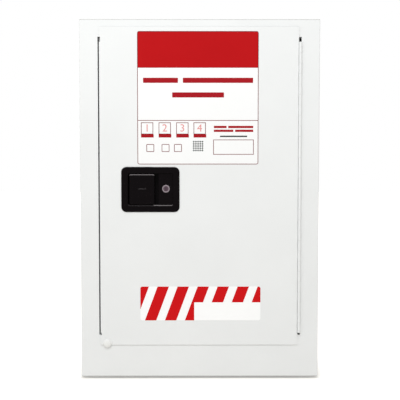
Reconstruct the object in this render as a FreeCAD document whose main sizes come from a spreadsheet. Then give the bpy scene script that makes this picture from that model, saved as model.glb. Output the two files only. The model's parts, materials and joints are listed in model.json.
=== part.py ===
import FreeCAD, Part
import Sketcher
import os
import re

# A white sheet-steel safety cabinet with one door, in millimetres.
# X runs across the front, Y runs from the front to the back and Z runs up from the floor.

# how near the middle of an edge lies to a side that it is on
CLOSE = 1e-4
FULL_TURN_DEG = 360

SIZES = {
    # outer case
    "case_width": 590,
    "case_height": 885,
    "case_depth": 460,
    "foot_lift": 5,
    "sheet": 1.2,
    "bend_inside": 1.3,
    "wall_gap": 38,
    # face frame round the door opening
    "stile_width": 45,
    "header_height": 43,
    "sill_height": 105.5,
    "jamb_depth": 40.5,
    "stop_lip": 12,
    # door
    "door_thick": 40,
    "door_proud": 2,
    "door_side_gap": 3.4,
    "door_end_gap": 2,
    "door_lap": 25,
    "door_flange": 12,
    "relief_wide": 3,
    "relief_deep": 5,
    "relief_top": 12,
    "relief_bottom": 6,
    "stiffener_wide": 40,
    "stiffener_wall": 1,
    "stiffener_gap": 20,
    "stiffener_from_hinge": 45,
    "stiffener_count": 2,
    # hinge
    "knuckle_radius": 3.2,
    "hinge_stand": 3.8,
    "hinge_pin_radius": 1.5,
    "pin_play": 0.05,
    "hinge_leaf": 1.2,
    "hinge_leaf_wide": 33,
    "hinge_margin_top": 12.5,
    "hinge_margin_bottom": 6,
    "knuckle_count": 28,
    "knuckle_gap": 0.3,
    "rivet_count": 7,
    "rivet_radius": 2,
    "rivet_head_radius": 4,
    "rivet_head": 1.4,
    "rivet_tail_radius": 3.2,
    "rivet_tail": 2,
    "rivet_set_back": 20,
    "rivet_margin": 38,
    "hole_play": 0.1,
    # stickers and dome on the door
    "sticker_thick": 0.3,
    "label_edge": 93.7,
    "label_hinge_edge": 99.3,
    "label_top_edge": 11.4,
    "label_latch_gap": 6.3,
    "stripe_edge": 99.3,
    "stripe_hinge_edge": 92.5,
    "stripe_rise": 61.8,
    "stripe_height": 84.8,
    "sticker_corner": 5,
    "dome_edge": 16.6,
    "dome_rise": 4.2,
    "dome_radius": 10.5,
    "dome_height": 5,
    "dome_rim": 1,
    "dome_stem_radius": 2,
    # latch pan
    "latch_edge": 53.2,
    "latch_width": 143.8,
    "latch_tall": 111.6,
    "latch_height": 473.3,
    "latch_corner": 13,
    "latch_flange": 2,
    "latch_rim": 17,
    "latch_rim_round": 1.4,
    "latch_depth": 22,
    "latch_wall": 2,
    "latch_play": 0.5,
    "well_corner": 4,
    "well_round": 2.4,
    "clamp_wide": 60,
    "clamp_foot": 17,
    "clamp_arm": 15,
    "clamp_thick": 1.5,
    # lock
    "pedestal_width": 35,
    "pedestal_drop": 3,
    "pedestal_round": 0.8,
    "lock_inset": 16.5,
    "lock_rise": 1.9,
    "lock_head_radius": 9.9,
    "lock_head": 1.6,
    "lock_radius": 9,
    "lock_length": 23,
    "lock_nut_flat": 24,
    "lock_nut_thick": 4,
    "lock_bezel": 0.8,
    "plug_radius": 6.5,
    "plug_play": 0.1,
    "plug_tail": 3.5,
    "key_slot_long": 8,
    "key_slot_wide": 1.6,
    "key_slot_deep": 8,
    "cam_long": 22,
    "cam_wide": 11,
    "cam_thick": 2.5,
    # paddle
    "paddle_gap": 3.1,
    "paddle_end_gap": 1.2,
    "paddle_width": 62,
    "paddle_proud": 1,
    "paddle_plate": 3,
    "paddle_round": 2.4,
    "paddle_pivot_inset": 6.3,
    "paddle_pivot_depth": 8,
    "paddle_hub_radius": 5,
    "paddle_pin_radius": 2,
    "paddle_grip": 11,
    "paddle_rib_long": 20,
    "paddle_rib_tall": 1.6,
    "paddle_rib_proud": 0.7,
    "paddle_rib_round": 0.5,
    "paddle_rib_rise": 1.2,
    "paddle_opening_deg": 30,
    "hub_gap": 16,
    "spring_wire": 0.55,
    "spring_radius": 3.6,
    "spring_turn_count": 6,
    "tail_length": 22,
    "tail_radius": 3,
    "tail_tall": 12,
    "tail_play": 1,
    # actuator behind the pan
    "actuator_drop": 19,
    "actuator_play": 0.3,
    "actuator_thick": 3,
    "actuator_gap": 1,
    "tab_reach": 30,
    "tab_radius": 3,
    "tab_long": 8,
    "rod_reach": 34,
    "arm_half": 7,
    "post_radius": 4,
    "post_shoulder": 6,
    "post_head_radius": 7,
    "post_head": 2,
    # rods, guides and keepers
    "rod_radius": 4,
    "rod_clear": 2,
    "rod_throw": 12,
    "rod_lug": 3,
    "rod_lug_half": 9,
    "rod_slot_play": 0.3,
    "rod_slot_half": 6.5,
    "rod_hole_play": 0.3,
    "rod_pin_long": 6,
    "guide_wide": 24,
    "guide_tall": 12,
    "guide_inset": 40,
    "keeper_wide": 44,
    "keeper_thick": 3,
    "keeper_set_back": 5,
    "keeper_slot": 14,
    "keeper_clear": 2,
    # access cover inside the door
    "cover_margin": 12,
    "cover_lap": 8,
    "cover_screw_inset": 4,
    "screw_radius": 1.5,
    "screw_head_radius": 3,
    "screw_head": 1.6,
    "screw_long": 6,
    # liner supports
    "beam_wide": 30,
    "beam_wall": 1.5,
    "beam_centre": 150,
    "beam_margin": 60,
    "spacer_wide": 30,
    "spacer_margin": 70,
    "spacer_from_vent": 130,
    "back_spacer_centre": 120,
    "back_spacer_margin": 150,
    # sump
    "sump_depth": 50,
    "sump_play": 0.6,
    # shelf standards, clips and shelf
    "standard_deep": 10,
    "standard_wide": 20,
    "standard_wall": 1.5,
    "standard_inset": 50,
    "standard_low_margin": 90,
    "standard_top_margin": 30,
    "slot_first": 22,
    "slot_pitch": 40,
    "slot_wide": 4,
    "slot_tall": 12,
    "slot_count": 17,
    "shelf_step_count": 8,
    "clip_long": 14,
    "clip_wide": 12,
    "clip_thick": 4,
    "clip_tongue": 3,
    "shelf_thick": 1.5,
    "shelf_edge": 28,
    "shelf_play": 1.5,
    "shelf_front_gap": 20,
    "shelf_back_gap": 12,
    "shelf_rim": 6,
    "shelf_bend": 2.5,
    # vents
    "vent_low_rise": 120,
    "vent_high_drop": 60,
    "vent_bore": 27,
    "vent_wall": 3,
    "vent_flange_radius": 36,
    "vent_flange": 1.5,
    "vent_lip": 2.5,
    "vent_play": 0.3,
    "screen_thick": 1.5,
    "screen_hole": 1.8,
    "screen_pitch": 5.2,
    "screen_ring_count": 4,
    "screen_ring_hole_count": 6,
    "gasket_thick": 2,
    "cap_radius": 34,
    "cap_thick": 6,
    "cap_skirt": 14,
    "cap_wall": 3,
    "cap_round": 1.5,
    "cap_grip_wide": 10,
    "cap_grip_long": 40,
    "cap_grip_deep": 3,
    # earth stud
    "earth_radius": 3,
    "earth_head_radius": 6,
    "earth_head": 3,
    "earth_length": 7.5,
    "earth_washer_radius": 6.4,
    "earth_washer": 1.2,
    "earth_nut_flat": 10,
    "earth_nut_thick": 5,
    "earth_back": 45,
    "earth_rise": 60,
    # feet
    "foot_inset": 45,
    "foot_set_back": 60,
    "foot_radius": 18,
    "foot_round": 1,
    "foot_stud_radius": 5,
    "foot_stud_length": 38,
    "foot_seat": 2,
    "foot_nut_flat": 17,
    "foot_nut_thick": 8,
}

# Places and derived sizes, each worked out from the sizes above and the places before it.
PLACES = {
    "half": "case_width / 2",
    "hinge_proud": "hinge_stand + knuckle_radius",
    "face": "(hinge_proud - case_depth) / 2",
    "back": "face + case_depth",
    "base": "foot_lift",
    "crown": "base + case_height",
    "bend_outside": "bend_inside + sheet",
    "inner_x": "half - sheet",
    "inner_crown": "crown - sheet",
    "inner_back": "back - sheet",
    "inner_front": "face + sheet",
    "base_top": "base + sheet",
    "jamb_x": "half - stile_width",
    "jamb_top": "crown - header_height",
    "jamb_bottom": "base + sill_height",
    "stop_front": "face + jamb_depth",
    "stop_back": "stop_front + sheet",
    "stop_x": "jamb_x - stop_lip",
    "stop_top": "jamb_top - stop_lip",
    "stop_bottom": "jamb_bottom + stop_lip",
    "liner_out_x": "inner_x - wall_gap",
    "liner_x": "liner_out_x - sheet",
    "liner_out_top": "inner_crown - wall_gap",
    "liner_top": "liner_out_top - sheet",
    "liner_out_back": "inner_back - wall_gap",
    "liner_back": "liner_out_back - sheet",
    "liner_out_floor": "base_top + wall_gap",
    "liner_floor": "liner_out_floor + sheet",
    "axis_x": "jamb_x - knuckle_radius",
    "axis_y": "face - hinge_stand",
    "hinge_low": "jamb_bottom + hinge_margin_bottom",
    "hinge_high": "jamb_top - hinge_margin_top",
    "knuckle_pitch": "(hinge_high - hinge_low) / knuckle_count",
    "leaf_front": "axis_y + knuckle_radius + knuckle_gap",
    "leaf_back": "leaf_front + hinge_leaf_wide",
    "rivet_y": "leaf_front + rivet_set_back",
    "rivet_pitch": "(hinge_high - hinge_low - 2 * rivet_margin) / (rivet_count - 1)",
    "door_left": "door_side_gap - jamb_x",
    "door_right": "axis_x - knuckle_radius",
    "door_front": "face - door_proud",
    "skin_back": "door_front + sheet",
    "door_back": "door_front + door_thick",
    "panel_front": "door_back - sheet",
    "door_top": "jamb_top - door_end_gap",
    "door_bottom": "jamb_bottom + door_end_gap",
    "lip_top": "jamb_top + door_lap",
    "lip_bottom": "jamb_bottom - door_lap",
    "sticker_front": "door_front - sticker_thick",
    "latch_left": "door_left + latch_edge",
    "latch_right": "latch_left + latch_width",
    "latch_low": "latch_height - latch_tall / 2",
    "latch_high": "latch_height + latch_tall / 2",
    "label_low": "latch_high + label_latch_gap",
    "label_high": "lip_top - label_top_edge",
    "stripe_low": "lip_bottom + stripe_rise",
    "pan_front": "door_front - latch_flange",
    "well_left": "latch_left + latch_rim",
    "well_right": "latch_right - latch_rim",
    "well_low": "latch_low + latch_rim",
    "well_high": "latch_high - latch_rim",
    "well_back": "pan_front + latch_depth",
    "pan_back": "well_back + latch_wall",
    "pedestal_left": "well_right - pedestal_width",
    "pedestal_front": "pan_front + pedestal_drop",
    "lock_x": "well_right - lock_inset",
    "lock_z": "latch_height + lock_rise",
    "lock_back": "pedestal_front + lock_length",
    "paddle_left": "well_left + paddle_gap",
    "paddle_right": "paddle_left + paddle_width",
    "paddle_low": "well_low + paddle_end_gap",
    "paddle_high": "well_high - paddle_end_gap",
    "paddle_front": "pan_front - paddle_proud",
    "pivot_x": "paddle_left + paddle_pivot_inset",
    "pivot_y": "paddle_front + paddle_pivot_depth",
    "actuator_x": "pivot_x + tail_radius + tab_radius + actuator_play",
    "actuator_z": "latch_height - actuator_drop",
    "actuator_front": "pivot_y + tail_length + tail_radius + actuator_gap",
    "actuator_back": "actuator_front + actuator_thick",
    "tab_z": "actuator_z + tab_reach",
    "rod_y": "pan_back + rod_clear + rod_radius",
    "rod_hole": "rod_radius + rod_hole_play",
    "rod_top_x": "actuator_x + rod_reach",
    "rod_bottom_x": "actuator_x - rod_reach",
    "rod_top_tip": "door_top + rod_throw",
    "rod_bottom_tip": "door_bottom - rod_throw",
    "cover_left": "rod_bottom_x - rod_lug_half - cover_margin",
    "cover_right": "well_right + cover_margin",
    "cover_low": "well_low - cover_margin",
    "cover_high": "well_high + cover_margin",
    "stiffener_last": "door_right - stiffener_from_hinge - stiffener_wide",
    "stiffener_pitch": "(stiffener_last - cover_right) / stiffener_count",
    "standard_front_y": "stop_back + standard_inset",
    "standard_back_y": "liner_back - standard_inset",
    "standard_low": "liner_floor + standard_low_margin",
    "standard_high": "liner_top - standard_top_margin",
    "standard_x": "liner_x - standard_deep",
    "clip_top": "standard_low + slot_first + shelf_step_count * slot_pitch + clip_thick / 2",
    "shelf_x": "standard_x - shelf_play",
    "shelf_top": "clip_top + shelf_edge",
    "vent_y": "(stop_back + liner_back) / 2",
    "vent_low_z": "liner_floor + vent_low_rise",
    "vent_high_z": "liner_top - vent_high_drop",
    "spacer_low": "vent_low_z + spacer_from_vent",
    "spacer_high": "vent_high_z - spacer_from_vent - spacer_wide",
    "vent_out": "half - liner_x",
    "vent_outer": "vent_bore + vent_wall",
    "foot_x": "half - foot_inset",
    "foot_front_y": "face + foot_set_back",
    "foot_back_y": "back - foot_set_back",
    "earth_y": "back - earth_back",
    "earth_z": "base + earth_rise",
}

doc = FreeCAD.newDocument("safety_cabinet")
dims = doc.addObject("Spreadsheet::Sheet", "dims")
for row, (size_name, size) in enumerate(SIZES.items(), start=1):
    dims.set(f"A{row}", size_name)
    dims.set(f"B{row}", str(size))
    dims.setAlias(f"B{row}", size_name)
doc.recompute()


def bind(formula):
    """Point each plain name of a formula at the sheet or at the worked-out places."""
    def owner(match):
        word = match.group(0)
        if word in SIZES:
            return "dims." + word
        if word in PLACES:
            return "places." + word
        return word
    return re.sub(r"[a-z][a-z0-9_]*", owner, str(formula))


places = doc.addObject("App::VarSet", "places")
for place_name, place_formula in PLACES.items():
    places.addProperty("App::PropertyFloat", place_name, "Places")
    places.setExpression(place_name, bind(place_formula))
doc.recompute()

AXES = {
    "X": FreeCAD.Rotation(FreeCAD.Vector(0, 1, 0), 90),
    "-X": FreeCAD.Rotation(FreeCAD.Vector(0, 1, 0), -90),
    "Y": FreeCAD.Rotation(FreeCAD.Vector(1, 0, 0), -90),
    "-Y": FreeCAD.Rotation(FreeCAD.Vector(1, 0, 0), 90),
    "Z": FreeCAD.Rotation(),
    "-Z": FreeCAD.Rotation(FreeCAD.Vector(1, 0, 0), 180),
}
nodes = []


def value(formula):
    """The present number of a formula."""
    return float(places.evalExpression(bind(formula)))


def put(piece, axis, x, y, z):
    """Turn a piece's own Z along the axis and bind its place."""
    piece.Placement = FreeCAD.Placement(FreeCAD.Vector(), AXES[axis])
    piece.setExpression("Placement.Base.x", bind(x))
    piece.setExpression("Placement.Base.y", bind(y))
    piece.setExpression("Placement.Base.z", bind(z))
    return piece


def box(label, x0, x1, y0, y1, z0, z1):
    """A plain block between six named planes."""
    block = doc.addObject("Part::Box", label)
    block.setExpression("Length", bind(f"({x1}) - ({x0})"))
    block.setExpression("Width", bind(f"({y1}) - ({y0})"))
    block.setExpression("Height", bind(f"({z1}) - ({z0})"))
    return put(block, "Z", x0, y0, z0)


def rod(label, axis, radius, length, x, y, z):
    """A plain cylinder that starts at a place and runs along an axis."""
    cylinder = doc.addObject("Part::Cylinder", label)
    cylinder.setExpression("Radius", bind(radius))
    cylinder.setExpression("Height", bind(length))
    return put(cylinder, axis, x, y, z)


def hexagon(label, axis, across_flats, length, x, y, z):
    """A six-sided prism of a size across its flats."""
    prism = doc.addObject("Part::Prism", label)
    prism.Polygon = 6
    prism.setExpression("Circumradius", bind(f"({across_flats}) / 2 / cos(30 deg)"))
    prism.setExpression("Height", bind(length))
    return put(prism, axis, x, y, z)


def fuse(label, *pieces):
    """Several pieces as one, or as a group where they lie apart."""
    if len(pieces) == 1:
        pieces[0].Label = label
        return pieces[0]
    joined = doc.addObject("Part::MultiFuse", label)
    joined.Shapes = list(pieces)
    return joined


def cut(label, piece, *tools):
    """A piece less its tools."""
    cutter = doc.addObject("Part::Cut", label)
    cutter.Base = piece
    cutter.Tool = fuse(label + "_tools", *tools)
    return cutter


def node(piece):
    """Note a finished sub-part."""
    nodes.append(piece)
    return piece


def origin_plane(body, role):
    return next(item for item in body.Origin.OriginFeatures if item.Role == role)


def sketch_outline(body, role, points, lift="0"):
    """A closed outline of straight lines, each corner bound to its two formulas."""
    sketch = body.newObject("Sketcher::SketchObject", body.Name + "_sketch")
    sketch.AttachmentSupport = [(origin_plane(body, role), "")]
    sketch.MapMode = "FlatFace"
    sketch.setExpression("AttachmentOffset.Base.z", bind(lift))
    corners = [FreeCAD.Vector(value(across), value(along), 0) for across, along in points]
    count = len(corners)
    for index in range(count):
        sketch.addGeometry(Part.LineSegment(corners[index], corners[(index + 1) % count]), False)
    for index in range(count):
        sketch.addConstraint(Sketcher.Constraint("Coincident", index, 2, (index + 1) % count, 1))
    for index, (across, along) in enumerate(points):
        corner = corners[index]
        for kind, formula, place in (("DistanceX", across, corner.x), ("DistanceY", along, corner.y)):
            number = sketch.addConstraint(Sketcher.Constraint(kind, -1, 1, index, 1, place))
            sketch.setExpression(f"Constraints[{number}]", bind(formula))
    return sketch


def edges_between(shape, picks):
    """Names of the edges that lie on every side named in a pick, such as front, or left front.

    Rim stands for an edge that reaches the left, right, bottom or top, and inner for one that doesn't.
    """
    bounds = shape.BoundBox
    found = []
    for number, edge in enumerate(shape.Edges, start=1):
        span = edge.BoundBox
        centre = span.Center
        to_rim = min(span.XMin - bounds.XMin, bounds.XMax - span.XMax,
                     span.ZMin - bounds.ZMin, bounds.ZMax - span.ZMax)
        on_side = {
            "left": abs(centre.x - bounds.XMin) < CLOSE,
            "right": abs(centre.x - bounds.XMax) < CLOSE,
            "front": abs(centre.y - bounds.YMin) < CLOSE,
            "back": abs(centre.y - bounds.YMax) < CLOSE,
            "bottom": abs(centre.z - bounds.ZMin) < CLOSE,
            "top": abs(centre.z - bounds.ZMax) < CLOSE,
            "rim": to_rim < CLOSE,
            "inner": to_rim > CLOSE,
        }
        for pick in picks:
            if all(on_side[side] for side in pick.split()):
                found.append(f"Edge{number}")
    return found


def round_edges(body, radius, picks):
    """Round the edges on the named sides."""
    doc.recompute()
    previous = body.Tip
    rounded = body.newObject("PartDesign::Fillet", body.Name + "_round")
    rounded.Base = (previous, edges_between(previous.Shape, picks))
    rounded.setExpression("Radius", bind(radius))
    return rounded


def block(label, x0, x1, y0, y1, z0, z1, *rounds):
    """A padded block whose named edges are rounded; each entry of rounds is a radius and its edges."""
    body = doc.addObject("PartDesign::Body", label)
    sketch = sketch_outline(body, "XY_Plane", [(x0, y0), (x1, y0), (x1, y1), (x0, y1)], z0)
    pad = body.newObject("PartDesign::Pad", label + "_pad")
    pad.Profile = sketch
    pad.setExpression("Length", bind(f"({z1}) - ({z0})"))
    for radius, *picks in rounds:
        round_edges(body, radius, picks)
    return body


def rounded(label, piece, *rounds):
    """A finished piece whose named edges are rounded; each entry of rounds is a radius and its edges."""
    body = doc.addObject("PartDesign::Body", label)
    base = body.newObject("PartDesign::FeatureBase", label + "_base")
    base.BaseFeature = piece
    body.Tip = base
    for radius, *picks in rounds:
        round_edges(body, radius, picks)
    return body


def turned(label, axis, x, y, z, outline):
    """A solid of revolution; the outline holds radius and height along the axis."""
    body = doc.addObject("PartDesign::Body", label)
    sketch = sketch_outline(body, "XZ_Plane", outline)
    spin = body.newObject("PartDesign::Revolution", label + "_spin")
    spin.Profile = sketch
    spin.ReferenceAxis = (sketch, ["V_Axis"])
    spin.Angle = FULL_TURN_DEG
    return put(body, axis, x, y, z)


def tube(label, axis, x0, x1, y0, y1, z0, z1, wall):
    """A rectangular tube that is open at both ends of one axis."""
    outer = box(label + "_outer", x0, x1, y0, y1, z0, z1)
    low = {"X": [x0, f"{y0} + {wall}", f"{z0} + {wall}"],
           "Y": [f"{x0} + {wall}", y0, f"{z0} + {wall}"],
           "Z": [f"{x0} + {wall}", f"{y0} + {wall}", z0]}[axis]
    high = {"X": [x1, f"{y1} - {wall}", f"{z1} - {wall}"],
            "Y": [f"{x1} - {wall}", y1, f"{z1} - {wall}"],
            "Z": [f"{x1} - {wall}", f"{y1} - {wall}", z1]}[axis]
    inner = box(label + "_inner", low[0], high[0], low[1], high[1], low[2], high[2])
    return cut(label, outer, inner)


def ring(label, wide, low, high, inner_wide, inner_low, inner_high, front, back):
    """An upright rectangular frame, the same on both sides of the middle."""
    outer = box(label + "_outer", f"-({wide})", wide, front, back, low, high)
    inner = box(label + "_inner", f"-({inner_wide})", inner_wide, front, back, inner_low, inner_high)
    return cut(label, outer, inner)


def vents():
    """Name, side, direction and height of the two vents."""
    return (("left", "-1", "-X", "vent_low_z"), ("right", "1", "X", "vent_high_z"))


def build_case():
    """Outer shell with its face frame, jambs and stop flange, and the panels that close it."""
    shell = block("case_shell", "-half", "half", "face", "back", "base", "crown",
                  ("bend_outside", "left front", "right front", "left top", "right top", "front top",
                   "front bottom"))
    cavity = block("case_cavity", "-inner_x", "inner_x", "inner_front", "back", "base", "inner_crown",
                   ("bend_inside", "left front", "right front", "left top", "right top", "front top"))
    opening = box("case_opening", "-jamb_x", "jamb_x", "face", "inner_front", "jamb_bottom", "jamb_top")
    jambs = ring("case_jambs", "jamb_x + sheet", "jamb_bottom - sheet", "jamb_top + sheet",
                 "jamb_x", "jamb_bottom", "jamb_top", "face + sheet / 2", "stop_back")
    stop = ring("case_stop", "liner_out_x", "liner_out_floor", "liner_out_top",
                "stop_x", "stop_bottom", "stop_top", "stop_front", "stop_back")
    cuts = [
        box("notch_top", "rod_top_x - keeper_slot / 2", "rod_top_x + keeper_slot / 2",
            "face", "rod_y + keeper_slot / 2", "jamb_top", "rod_top_tip + keeper_clear"),
        box("notch_bottom", "rod_bottom_x - keeper_slot / 2", "rod_bottom_x + keeper_slot / 2",
            "face", "rod_y + keeper_slot / 2", "rod_bottom_tip - keeper_clear", "jamb_bottom"),
        rod("case_earth_hole", "X", "earth_radius + hole_play", "sheet", "inner_x", "earth_y", "earth_z"),
    ]
    for name, side, axis, height in vents():
        cuts.append(rod(f"case_vent_hole_{name}", axis, "vent_outer + hole_play", "sheet",
                        f"{side} * inner_x", "vent_y", height))
    for number in range(int(value("rivet_count"))):
        cuts.append(rod(f"case_rivet_hole_{number}", "X", "rivet_radius + hole_play", "sheet",
                        "jamb_x", "rivet_y", f"hinge_low + rivet_margin + {number} * rivet_pitch"))
    walls = cut("case_walls", shell, cavity, opening)
    node(cut("outer_case", fuse("case_frame", walls, jambs, stop), *cuts))

    node(block("back_panel", "-inner_x", "inner_x", "inner_back", "back", "base_top", "inner_crown",
               ("bend_inside", "left top", "right top")))
    plate = block("base_plate", "-inner_x", "inner_x", "inner_front", "back", "base", "base_top",
                  ("bend_inside", "left front", "right front"))
    holes = [rod(f"base_hole_{name}", "Z", "foot_stud_radius + hole_play", "sheet", x, y, "base")
             for name, x, y in feet()]
    node(cut("base_pan", plate, *holes))


def build_liner():
    """Inner box, the supports that carry it with an air gap, and the sump pan on its floor."""
    outer = block("liner_outer", "-liner_out_x", "liner_out_x", "stop_back", "liner_out_back",
                  "liner_out_floor", "liner_out_top",
                  ("bend_outside", "left top", "right top", "left bottom", "right bottom"))
    inner = block("liner_inner", "-liner_x", "liner_x", "stop_back", "liner_back",
                  "liner_floor", "liner_top",
                  ("bend_inside", "left top", "right top", "left bottom", "right bottom"))
    holes = [rod(f"liner_vent_hole_{name}", axis, "vent_outer + hole_play", "sheet",
                 f"{side} * liner_x", "vent_y", height) for name, side, axis, height in vents()]
    node(cut("liner_case", outer, inner, *holes))

    beams = [tube(f"beam_{name}", "Y", f"{side} * beam_centre - beam_wide / 2",
                  f"{side} * beam_centre + beam_wide / 2", "face + beam_margin", "back - beam_margin",
                  "base_top", "liner_out_floor", "beam_wall")
             for name, side in (("left", "-1"), ("right", "1"))]
    node(fuse("floor_beams", *beams))

    spacers = []
    for name, start, end in (("left", "-inner_x", "-liner_out_x"), ("right", "liner_out_x", "inner_x")):
        for level in ("spacer_low", "spacer_high"):
            spacers.append(tube(f"{level}_{name}", "Y", start, end,
                                "stop_back + spacer_margin", "liner_back - spacer_margin",
                                level, f"{level} + spacer_wide", "beam_wall"))
    for name, side in (("left", "-1"), ("right", "1")):
        spacers.append(tube(f"back_spacer_{name}", "Z", f"{side} * back_spacer_centre - spacer_wide / 2",
                            f"{side} * back_spacer_centre + spacer_wide / 2", "liner_out_back", "inner_back",
                            "base + back_spacer_margin", "crown - back_spacer_margin", "beam_wall"))
        spacers.append(tube(f"top_spacer_{name}", "Y", f"{side} * beam_centre - spacer_wide / 2",
                            f"{side} * beam_centre + spacer_wide / 2", "stop_back + spacer_margin",
                            "liner_back - spacer_margin", "liner_out_top", "inner_crown", "beam_wall"))
    node(fuse("wall_spacers", *spacers))

    pan = block("sump_outer", "sump_play - liner_x", "liner_x - sump_play", "stop_back + sump_play",
                "liner_back - sump_play", "liner_floor", "liner_floor + sump_depth",
                ("bend_outside", "left front", "right front", "left back", "right back",
                 "left bottom", "right bottom"))
    hollow = block("sump_inner", "sump_play + sheet - liner_x", "liner_x - sump_play - sheet",
                   "stop_back + sump_play + sheet", "liner_back - sump_play - sheet",
                   "liner_floor + sheet", "liner_floor + sump_depth",
                   ("bend_inside", "left front", "right front", "left back", "right back",
                    "left bottom", "right bottom"))
    node(cut("sump_pan", pan, hollow))


def build_shelf():
    """Slotted standards on the liner's sides, the clips in them and the shelf on the clips."""
    standards = []
    clips = []
    for side_name, side in (("left", "-1"), ("right", "1")):
        for place, centre in (("front", "standard_front_y"), ("back", "standard_back_y")):
            name = f"{side_name}_{place}"
            ends = {"-1": ("-liner_x", "-standard_x"), "1": ("standard_x", "liner_x")}[side]
            strip = box(f"standard_strip_{name}", *ends, f"{centre} - standard_wide / 2",
                        f"{centre} + standard_wide / 2", "standard_low", "standard_high")
            hollow_ends = {"-1": ("-liner_x", "-standard_x - standard_wall"),
                           "1": ("standard_x + standard_wall", "liner_x")}[side]
            hollow = box(f"standard_hollow_{name}", *hollow_ends,
                         f"{centre} - standard_wide / 2 + standard_wall",
                         f"{centre} + standard_wide / 2 - standard_wall", "standard_low", "standard_high")
            slot_ends = {"-1": ("-standard_x - standard_wall", "-standard_x"),
                         "1": ("standard_x", "standard_x + standard_wall")}[side]
            slots = []
            for number in range(int(value("slot_count"))):
                level = f"standard_low + slot_first + {number} * slot_pitch"
                slots.append(box(f"slot_{name}_{number}", *slot_ends, f"{centre} - slot_wide / 2",
                                 f"{centre} + slot_wide / 2", f"{level} - slot_tall / 2",
                                 f"{level} + slot_tall / 2"))
            standards.append(cut(f"standard_{name}", strip, hollow, *slots))
            ledge_ends = {"-1": ("-standard_x", "clip_long - standard_x"),
                          "1": ("standard_x - clip_long", "standard_x")}[side]
            tongue_ends = {"-1": ("-standard_x - clip_tongue", "-standard_x"),
                           "1": ("standard_x", "standard_x + clip_tongue")}[side]
            ledge = box(f"clip_ledge_{name}", *ledge_ends, f"{centre} - clip_wide / 2",
                        f"{centre} + clip_wide / 2", "clip_top - clip_thick", "clip_top")
            tongue = box(f"clip_tongue_{name}", *tongue_ends, f"{centre} - slot_wide / 2 + hole_play",
                         f"{centre} + slot_wide / 2 - hole_play", "clip_top - clip_thick", "clip_top")
            clips.append(fuse(f"clip_{name}", ledge, tongue))
    node(fuse("shelf_standards", *standards))
    node(fuse("shelf_clips", *clips))

    front = "stop_back + shelf_front_gap"
    rear = "liner_back - shelf_back_gap"
    tray = block("shelf_outer", "-shelf_x", "shelf_x", front, rear, "clip_top", "shelf_top",
                 ("shelf_bend", "left top", "right top", "front top", "back top"))
    under = box("shelf_under", "shelf_thick - shelf_x", "shelf_x - shelf_thick", f"{front} + shelf_thick",
                f"{rear} - shelf_thick", "clip_top", "shelf_top - shelf_rim - shelf_thick")
    dish = box("shelf_dish", "2 * shelf_thick - shelf_x", "shelf_x - 2 * shelf_thick",
               f"{front} + 2 * shelf_thick", f"{rear} - 2 * shelf_thick", "shelf_top - shelf_rim",
               "shelf_top")
    node(cut("shelf", tray, under, dish))


def build_vents():
    """Sleeve, flame screen, gasket and cap of each vent; heights run outwards from the liner's inside."""
    for name, side, axis, height in vents():
        at = (axis, f"{side} * liner_x", "vent_y", height)
        node(turned(f"vent_sleeve_{name}", *at, [
            ("vent_bore - vent_lip", "-vent_flange"), ("vent_flange_radius", "-vent_flange"),
            ("vent_flange_radius", "0"), ("vent_outer", "0"), ("vent_outer", "vent_out"),
            ("vent_bore", "vent_out"), ("vent_bore", "0"), ("vent_bore - vent_lip", "0")]))
        disc = rod(f"screen_disc_{name}", axis, "vent_bore - hole_play", "screen_thick", *at[1:])
        holes = []
        for circle in range(int(value("screen_ring_count"))):
            steps = max(1, int(value("screen_ring_hole_count")) * circle)
            for step in range(steps):
                turn = f"{step} * {FULL_TURN_DEG} deg / {steps}"
                holes.append(rod(f"screen_hole_{name}_{circle}_{step}", axis, "screen_hole", "screen_thick",
                                 at[1], f"vent_y + {circle} * screen_pitch * cos({turn})",
                                 f"{height} + {circle} * screen_pitch * sin({turn})"))
        node(cut(f"vent_screen_{name}", disc, *holes))
        node(turned(f"vent_gasket_{name}", *at, [
            ("vent_bore + vent_play", "vent_out"), ("cap_radius", "vent_out"),
            ("cap_radius", "vent_out + gasket_thick"), ("vent_bore + vent_play", "vent_out + gasket_thick")]))
        seat = "(vent_out + gasket_thick)"
        cap = turned(f"cap_turned_{name}", *at, [
            ("0", f"{seat} + cap_thick / 3"), ("vent_bore - vent_play - cap_wall", f"{seat} + cap_thick / 3"),
            ("vent_bore - vent_play - cap_wall", f"{seat} - cap_skirt"),
            ("vent_bore - vent_play", f"{seat} - cap_skirt"), ("vent_bore - vent_play", seat),
            ("cap_radius", seat), ("cap_radius", f"{seat} + cap_thick - cap_round"),
            ("cap_radius - cap_round", f"{seat} + cap_thick"), ("0", f"{seat} + cap_thick")])
        low = {"-1": f"-liner_x - {seat} - cap_thick",
               "1": f"liner_x + {seat} + cap_thick - cap_grip_deep"}[side]
        high = {"-1": f"cap_grip_deep - liner_x - {seat} - cap_thick",
                "1": f"liner_x + {seat} + cap_thick"}[side]
        grips = [box(f"cap_grip_{name}_{part}", low, high, f"vent_y + {first}", f"vent_y + {second}",
                     f"{height} - cap_grip_long / 2", f"{height} + cap_grip_long / 2")
                 for part, first, second in (("front", "-cap_grip_wide", "-cap_grip_wide / 3"),
                                             ("back", "cap_grip_wide / 3", "cap_grip_wide"))]
        node(cut(f"vent_cap_{name}", cap, *grips))


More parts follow.
